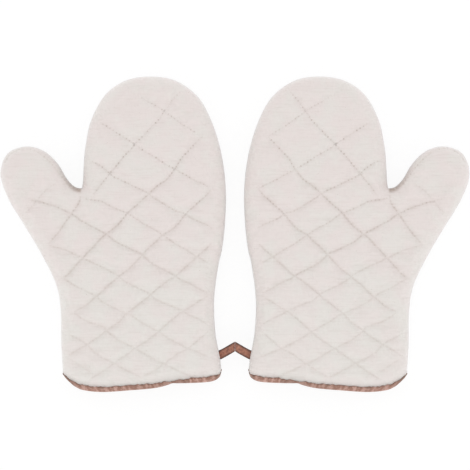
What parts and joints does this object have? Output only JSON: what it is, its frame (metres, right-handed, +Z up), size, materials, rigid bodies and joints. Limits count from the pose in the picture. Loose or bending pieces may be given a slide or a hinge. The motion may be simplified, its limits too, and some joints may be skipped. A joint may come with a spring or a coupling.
{
  "type": "pair of oven gloves",
  "caption": "Pair of padded mittens with a separate thumb, quilted in diamonds, with bound cuffs and a tape loop on each side seam for hanging.",
  "frame": {"origin": "centre of the pair's outline, on the surface that it lies on", "axes": "+Z up from the surface, +Y towards the fingertips, +X from the left glove to the right one; the pair is mirrored at X = 0"},
  "size_m": [0.4448, 0.3014, 0.0293],
  "materials": {
    "quilted_cotton": "matt natural cotton with fine slubs, quilted",
    "cotton_batting": "soft white wadding",
    "plain_lining": "matt plain weave",
    "brown_binding": "matt bias tape, puckered",
    "brown_tape": "matt twill tape"
  },
  "bodies": {
    "left_glove": {"left_front_panel": "quilted_cotton", "left_back_panel": "quilted_cotton", "left_front_batting": "cotton_batting", "left_back_batting": "cotton_batting", "left_front_lining": "plain_lining", "left_back_lining": "plain_lining", "left_cuff_binding": "brown_binding"},
    "left_loop": {"left_hanging_loop": "brown_tape"},
    "right_glove": {"right_front_panel": "quilted_cotton", "right_back_panel": "quilted_cotton", "right_front_batting": "cotton_batting", "right_back_batting": "cotton_batting", "right_front_lining": "plain_lining", "right_back_lining": "plain_lining", "right_cuff_binding": "brown_binding"},
    "right_loop": {"right_hanging_loop": "brown_tape"}
  },
  "joints": [
    {"name": "right_glove_apart", "type": "slide", "parent": "left_glove", "child": "right_glove", "axis": [1, 0, 0], "range_m": [0, 0.15]},
    {"name": "left_loop_swing", "type": "hinge", "parent": "left_glove", "child": "left_loop", "pos_m": [-0.01337, -0.11271, 0.01325], "axis": [-0.1898, 0.9818, 0], "range_deg": [-70, 70], "stiffness_Nm_per_rad": 0.0005},
    {"name": "right_loop_swing", "type": "hinge", "parent": "right_glove", "child": "right_loop", "pos_m": [0.01337, -0.11271, 0.01325], "axis": [0.1898, 0.9818, 0], "range_deg": [-70, 70], "stiffness_Nm_per_rad": 0.0005}
  ]
}
